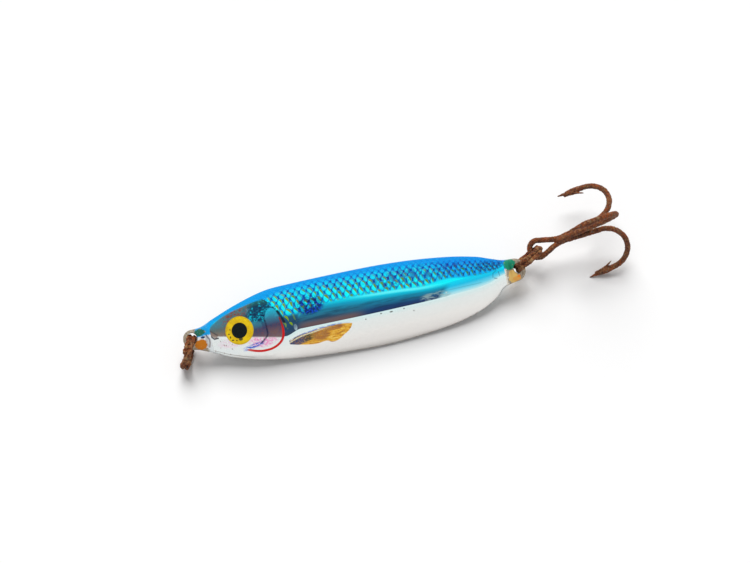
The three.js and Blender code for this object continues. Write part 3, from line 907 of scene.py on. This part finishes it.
def fish_mesh(stations, sides):
    builder = bmesh.new()
    rings = []
    for i in range(1, stations):
        along = (1 - math.cos(math.pi * i / stations)) / 2
        along = 0.55 * along + 0.45 * i / stations
        rings.append(section(NOSE_TIP + (TAIL_TIP - NOSE_TIP) * along, sides))
    ring_tube(builder, rings, body_point(NOSE_TIP, crease_at(NOSE_TIP), 0),
              body_point(TAIL_TIP, crease_at(TAIL_TIP), 0))
    bmesh.ops.recalc_face_normals(builder, faces=builder.faces)
    return builder


def hole_drill(name, centre, half_size):
    """A drill with flared ends, which leaves a hole with worn rims."""
    builder = bmesh.new()
    rings = [[body_point(centre[0] + half_size[0] * size * math.cos(angle),
                         centre[1] + half_size[1] * size * math.sin(angle), depth) for angle in angles(48)]
             for depth, size in DRILL_PROFILE]
    ring_tube(builder, rings)
    bmesh.ops.recalc_face_normals(builder, faces=builder.faces)
    return new_piece(name, builder, smooth=False)


def drilled(piece, drills):
    for drill in drills:
        cut = piece.modifiers.new(drill.name, "BOOLEAN")
        cut.operation, cut.solver, cut.object = "DIFFERENCE", "EXACT", drill
    applied(piece)
    for drill in drills:
        bpy.data.objects.remove(drill)
    return piece


def set_on_ground(piece):
    """Presses what dips below the ground flat against it."""
    for vert in piece.data.vertices:
        vert.co.z = max(vert.co.z, 0.0)


def wire(builder, path, radius_at, sides, flatten=1.0):
    """A round wire swept along points, with its own radius at each; both ends close in a point."""
    points = [Vector(point) for point in path]
    normal = (points[1] - points[0]).orthogonal().normalized()
    rings = []
    for i, centre in enumerate(points):
        way = (points[min(i + 1, len(points) - 1)] - points[max(i - 1, 0)]).normalized()
        normal = (normal - way * normal.dot(way)).normalized()
        side = way.cross(normal)
        radius = radius_at(i / (len(points) - 1))
        rings.append([centre + normal * (radius * math.cos(angle))
                      + side * (radius * flatten * math.sin(angle)) for angle in angles(sides)])
    return ring_tube(builder, rings, points[0], points[-1])


def smooth_path(points, spacing):
    """A rounded path through points, as a row of points about one spacing apart."""
    points = [Vector(point) for point in points]
    path = []
    for i in range(len(points) - 1):
        before, start = points[max(i - 1, 0)], points[i]
        end, after = points[i + 1], points[min(i + 2, len(points) - 1)]
        pieces = max(round((end - start).length / spacing), 1)
        for k in range(pieces):
            t = k / pieces
            bend, twist = 2 * before - 5 * start + 4 * end - after, 3 * start - before - 3 * end + after
            path.append(0.5 * (2 * start + (end - before) * t + bend * t ** 2 + twist * t ** 3))
    path.append(points[-1])
    return path


def corrode(piece, depth, seed, coarse=1.0):
    """Roughens a wire with swellings, flakes and pits, and notes how raised and how hollow each point is."""
    mesh = piece.data
    shift = Vector((seed * 7.3, seed * 3.1, seed * 1.7))
    normals = [normal.vector.copy() for normal in mesh.vertex_normals]
    places = [vert.co.copy() for vert in mesh.vertices]
    raised = []
    for place in places:
        p = place * 1000 + shift
        swell = noise.noise(p * 0.55)
        lump = noise.noise(p * 1.25 + Vector((3, 8, 1)))
        ledge = noise.noise(p * 2.4 + Vector((1, 5, 7)))
        flake = 0.45 * smoothstep(ledge, 0.02, 0.14) - 0.2
        pit = max(0.0, noise.noise(p * 2.9 + Vector((9, 4, 2))) - 0.22)
        grain = noise.noise(p * 6.5)
        raised.append(coarse * (0.5 * swell + 0.8 * lump) + flake + 0.3 * grain - 1.3 * pit)
    places = [place + normal * (depth * height) for place, normal, height in zip(places, normals, raised)]
    mesh.vertices.foreach_set("co", [value for place in places for value in place])
    mesh.update()
    tree = BVHTree.FromPolygons(places, [face.vertices[:] for face in mesh.polygons])
    # How hemmed in each point is by nearby wire; the rust material darkens it as painted shade.
    hollow = []
    for place, normal in zip(places, normals):
        side = normal.orthogonal().normalized()
        start, other = place + normal * HOLLOW_START, normal.cross(side)
        ways = (normal, normal + side, normal - side, normal + other, normal - other)
        hits = [tree.ray_cast(start, way.normalized(), HOLLOW_REACH)[3] for way in ways]
        hollow.append(sum(0.34 * (1 - hit / HOLLOW_REACH) for hit in hits if hit is not None))
    for name, values in (("crust", [height + 0.5 for height in raised]), ("hollow", hollow)):
        mesh.attributes.new(name, "FLOAT", "POINT").data.foreach_set("value", values)


def remeshed(piece, voxel):
    remesh = piece.modifiers.new("fuse", "REMESH")
    remesh.mode, remesh.voxel_size, remesh.use_smooth_shade = "VOXEL", voxel, True
    return applied(piece)


def finish_piece(piece, node, slot, *materials):
    piece.data.materials.clear()
    for material in materials:
        piece.data.materials.append(material)
    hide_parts(node)
    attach(piece, "root")


def split_ring_mesh(place, end):
    """Two flat turns of wire joined by a crossover: a circle spun round the ring's axis in three goes."""
    builder = bmesh.new()
    angle = math.radians(end + 360 - RING_GAP_DEG)
    turn = Matrix.Rotation(-angle, 4, "Y")
    start = Vector((RING_RADIUS, -RING_PITCH / 2, 0))
    circle = bmesh.ops.create_circle(builder, segments=20, radius=RING_WIRE,
                                     matrix=turn @ Matrix.Translation(start))["verts"]
    first = list(circle)
    loop = list({edge for vert in circle for edge in vert.link_edges})
    flat, cross = math.radians(360 - 2 * RING_GAP_DEG), math.radians(2 * RING_GAP_DEG)
    last = first
    for sweep, steps, rise in ((flat, 110, 0.0), (cross, 20, RING_PITCH), (flat, 110, 0.0)):
        grown = bmesh.ops.spin(builder, geom=list(last) + loop, cent=(0, 0, 0), axis=(0, -1, 0),
                               angle=sweep, steps=steps, dvec=(0, rise / steps, 0),
                               use_merge=False)["geom_last"]
        last = [item for item in grown if isinstance(item, bmesh.types.BMVert)]
        loop = [item for item in grown if isinstance(item, bmesh.types.BMEdge)]
    for ring in (first, last):
        bmesh.ops.contextual_create(builder, geom=ring)
    bmesh.ops.recalc_face_normals(builder, faces=builder.faces)
    bmesh.ops.transform(builder, matrix=place, verts=builder.verts)
    return builder


def placed(data, place, back):
    """A light or camera at a place, with its back to the way given."""
    thing = bpy.data.objects.new(data.name, data)
    thing.location = place
    thing.rotation_mode = "QUATERNION"
    thing.rotation_quaternion = (-back).to_track_quat("-Z", "Y")
    bpy.context.scene.collection.objects.link(thing)
    return thing


# Treble hook, in hook coordinates: x along the shank from the eye

def hook_point(station, distance, side):
    return Vector((station, distance * math.cos(side), distance * math.sin(side)))


def hook_way(side):
    """One hook's wire from the shank round the bend to its point."""
    way = [hook_point(SHANK_START, SHANK_OFFSET, side), hook_point(SHANK_END, SHANK_OFFSET, side),
           hook_point((SHANK_END + BEND_CENTRE) / 2, (SHANK_OFFSET + BEND_DISTANCE - BEND_RADIUS) / 2, side)]
    for degrees in range(-84, 85, 12):
        angle = math.radians(degrees)
        way.append(hook_point(BEND_CENTRE + BEND_RADIUS * math.cos(angle),
                              BEND_DISTANCE + BEND_RADIUS * math.sin(angle), side))
    for share in (0, 0.5, 1):
        station = BEND_CENTRE - 1 + (POINT_STATION - BEND_CENTRE + 1) * share
        spread = BEND_DISTANCE + BEND_RADIUS + (BEND_CENTRE - station) * POINT_SPLAY
        way.append(hook_point(station, spread, side))
    return way


def eye_way():
    """The wire's loop at the eye, from one shank to the next."""
    level = SHANK_OFFSET * math.sin(math.radians(HOOK_SIDES_DEG[0]))
    turns = [math.radians(degrees) for degrees in range(60, 301, 24)]
    return [Vector((EYE_LOOP_SETBACK + EYE_LOOP_RADIUS * math.cos(angle), EYE_LOOP_RADIUS * math.sin(angle),
                    level)) for angle in turns]


def pointed(length, both):
    """The wire's radius along it: full, then a long cone to each point."""
    def radius(share):
        to_point = length * (min(share, 1 - share) if both else 1 - share)
        spear = 0.1 * smoothstep(to_point, 1.8, 3.0) * (1 - smoothstep(to_point, 4.2, 5.6))
        return WIRE_TIP + (HOOK_WIRE - WIRE_TIP) * min(to_point / 3.6, 1.0) ** 0.85 + spear
    return radius


def path_length(path):
    return sum((b - a).length for a, b in zip(path, path[1:]))


def barb_path(side):
    """The raised barb: from inside the point to its free end, towards the bend."""
    leg = BEND_DISTANCE + BEND_RADIUS
    return [hook_point(POINT_STATION + 1.4, leg - 0.05, side),
            hook_point(POINT_STATION + 3.2, leg - 0.42, side),
            hook_point(POINT_STATION + 4.5, leg - 0.9, side),
            hook_point(POINT_STATION + 5.7, leg - 1.5, side)]


def treble_mesh():
    builder = bmesh.new()
    first, second, third = (math.radians(degrees) for degrees in HOOK_SIDES_DEG)
    pair = smooth_path(hook_way(first)[::-1] + eye_way() + hook_way(second), 0.2)
    wire(builder, pair, pointed(path_length(pair), True), 18)
    single = smooth_path(hook_way(third), 0.2)
    wire(builder, single, pointed(path_length(single), False), 18)
    core = [Vector((station, 0, 0)) for station in (3.2, 4.5, 7, 10, 11.6)]
    wire(builder, smooth_path(core, 0.4), lambda share: 0.5 if 0.1 < share < 0.85 else 0.35, 14)
    for side in (first, second, third):
        wire(builder, smooth_path(barb_path(side), 0.15),
             lambda share: 0.40 * (1 - share) ** 0.8 + 0.09, 12, 0.8)
    bmesh.ops.recalc_face_normals(builder, faces=builder.faces)
    bmesh.ops.transform(builder, matrix=lie(TREBLE_PLACE, *TREBLE_TURNS), verts=builder.verts)
    return builder


# Settings

class FishSettings(bpy.types.PropertyGroup):
    stations: IntProperty(name="Stations", description="Cross-sections along the fish", default=330, min=60)
    sides: IntProperty(name="Sides", description="Points round each cross-section", default=120, min=24)
    foil: FloatProperty(name="Foil", description="How metallic the foil under the paint is", default=0.85,
                        min=0.0, max=1.0, subtype="FACTOR")


class WireSettings(bpy.types.PropertyGroup):
    ring_rust: FloatProperty(name="Ring Rust", description="Thickness of the rust on the split rings",
                             default=0.0002, subtype="DISTANCE", unit="LENGTH")
    hook_rust: FloatProperty(name="Hook Rust", description="Thickness of the rust on the treble hook",
                             default=0.00012, subtype="DISTANCE", unit="LENGTH")
    ring_voxel: FloatProperty(name="Ring Detail", description="Size of the finest detail on the split rings",
                              default=0.00008, subtype="DISTANCE", unit="LENGTH")
    hook_voxel: FloatProperty(name="Hook Detail", description="Size of the finest detail on the treble hook",
                              default=0.0001, subtype="DISTANCE", unit="LENGTH")


class StageSettings(bpy.types.PropertyGroup):
    floor_colour: FloatVectorProperty(name="Floor Colour", description="Colour of the table", subtype="COLOR",
                                      size=3, default=(0.9, 0.9, 0.9), min=0.0, max=1.0)
    sky: FloatProperty(name="Room Light", description="Strength of the light from all round", default=0.36,
                       min=0.0)
    window: FloatProperty(name="Window Light", description="Strength of the broad light from the far side",
                          default=3.05, min=0.0, unit="POWER")
    window_width: FloatProperty(name="Window Width", description="How wide the light from the far side is",
                                default=math.radians(44), min=0.0, subtype="ANGLE", unit="ROTATION")
    focus: FloatVectorProperty(name="Focus", description="The point that the camera looks at", subtype="XYZ",
                               unit="LENGTH", size=3, default=(-0.00564, 0.00103, 0.0051))
    distance: FloatProperty(name="Distance", description="From the camera to the point it looks at",
                            default=0.4462, subtype="DISTANCE", unit="LENGTH")
    azimuth: FloatProperty(name="Azimuth", description="Turn of the camera round the lure",
                           default=math.radians(-13.65), subtype="ANGLE", unit="ROTATION")
    elevation: FloatProperty(name="Elevation", description="Height of the camera above the horizon",
                             default=math.radians(65), subtype="ANGLE", unit="ROTATION")


class LURE_OT_fish(bpy.types.Operator):
    """Model the cast fish and paint it"""
    bl_idname = "lure.fish"
    bl_label = "Fish"

    def execute(self, context):
        settings = context.scene.lure_fish
        fish = new_piece("painted_fish", fish_mesh(settings.stations, settings.sides))
        drilled(fish, [hole_drill(*hole) for hole in LUG_HOLES])
        set_on_ground(fish)
        fish.data.polygons.foreach_set("use_smooth", [True] * len(fish.data.polygons))
        fish.data.set_sharp_from_angle(angle=math.radians(SHARP_EDGE_DEG))
        groups = {"stroke": stroke_group(), "spot": spot_group(), "scales": scales_group(),
                  "specks": specks_group()}
        finish_piece(fish, "lure_body", "fish_paint", head_paint(groups, settings),
                     flank_paint(groups, settings), lug_paint(groups, settings))
        for face in fish.data.polygons:
            station = face.center.x / MM - GROUND_UNDER_NOSE_HOLE.x
            lug = station < NOSE_LUG_END or station > TAIL_LUG_START
            face.material_index = 2 if lug else int(station > HEAD_END)
        return {"FINISHED"}


class LURE_OT_wires(bpy.types.Operator):
    """Model the split rings and the treble hook, and rust them"""
    bl_idname = "lure.wires"
    bl_label = "Rings and Hook"

    def execute(self, context):
        settings = context.scene.lure_wires
        rust = rust_group()
        ring_rust = rust_material("ring_rust", rust, worn=0.35, relief=0.00008)
        hook_rust = rust_material("hook_rust", rust, worn=0.7, relief=0.00005)
        for name, node, place, heading, lean, end, seed in RINGS:
            ring = new_piece(name, split_ring_mesh(lie(place, ("Z", heading), ("X", lean)), end))
            remeshed(ring, settings.ring_voxel)
            corrode(ring, settings.ring_rust, seed)
            set_on_ground(ring)
            finish_piece(ring, node, "rusty_ring", ring_rust)
        hook = new_piece("rusty_treble", treble_mesh())
        remeshed(hook, settings.hook_voxel)
        corrode(hook, settings.hook_rust, seed=3, coarse=0.3)
        set_on_ground(hook)
        finish_piece(hook, "treble_hook", "rusty_hook", hook_rust)
        return {"FINISHED"}


class LURE_OT_stage(bpy.types.Operator):
    """Lay the pale table, set the lights and place the camera"""
    bl_idname = "lure.stage"
    bl_label = "Stage"

    def execute(self, context):
        scene, settings = context.scene, context.scene.lure_stage
        builder = bmesh.new()
        bmesh.ops.create_grid(builder, x_segments=8, y_segments=8, size=10.0)
        material, t = new_material("table")
        t.surface({"Base Color": (*settings.floor_colour, 1.0), "Roughness": 0.9, "Specular IOR Level": 0.1})
        table = new_piece("table", builder, material)
        table.data.transform(Matrix.Translation((0, 0, -TABLE_GAP)))

        world = bpy.data.worlds.new("room")
        world.use_nodes = True
        background = world.node_tree.nodes["Background"]
        room = ShaderTree(world.node_tree)
        scattered = room.add("ShaderNodeLightPath")["Is Diffuse Ray"]
        background.inputs["Color"].default_value = (1.0, 1.0, 1.0, 1.0)
        room.put(background.inputs["Strength"], room.lerp(scattered, 1.0, settings.sky))
        scene.world = world

        light = bpy.data.lights.new("window", "SUN")
        light.energy, light.angle = settings.window, settings.window_width
        window = placed(light, Vector(WINDOW_PLACE), Vector(WINDOW_PLACE))
        window.visible_glossy = False

        camera = bpy.data.cameras.new("camera")
        camera.lens, camera.sensor_width = 100.0, 36.0
        camera.clip_start, camera.clip_end = 0.01, 20.0
        turn, rise = settings.azimuth, settings.elevation
        back = Vector((math.sin(turn) * math.cos(rise), -math.cos(turn) * math.cos(rise), math.sin(rise)))
        scene.camera = placed(camera, Vector(settings.focus) + back * settings.distance, back)
        scene.view_settings.view_transform = "Standard"
        return {"FINISHED"}


class LURE_PT_parts(bpy.types.Panel):
    bl_label = "Casting Lure"
    bl_space_type = "VIEW_3D"
    bl_region_type = "UI"
    bl_category = "Lure"

    def draw(self, context):
        for operator in OPERATORS:
            self.layout.operator(operator.bl_idname)
        for group in (context.scene.lure_fish, context.scene.lure_wires, context.scene.lure_stage):
            box = self.layout.box()
            for name in group.__annotations__:
                box.prop(group, name)


OPERATORS = (LURE_OT_fish, LURE_OT_wires, LURE_OT_stage)
CLASSES = (FishSettings, WireSettings, StageSettings, *OPERATORS, LURE_PT_parts)


def register():
    for cls in CLASSES:
        bpy.utils.register_class(cls)
    bpy.types.Scene.lure_fish = PointerProperty(type=FishSettings)
    bpy.types.Scene.lure_wires = PointerProperty(type=WireSettings)
    bpy.types.Scene.lure_stage = PointerProperty(type=StageSettings)


def unregister():
    del bpy.types.Scene.lure_stage
    del bpy.types.Scene.lure_wires
    del bpy.types.Scene.lure_fish
    for cls in reversed(CLASSES):
        bpy.utils.unregister_class(cls)


def main():
    register()
    bpy.ops.lure.fish()
    bpy.ops.lure.wires()
    bpy.ops.lure.stage()


if __name__ == "__main__":
    main()
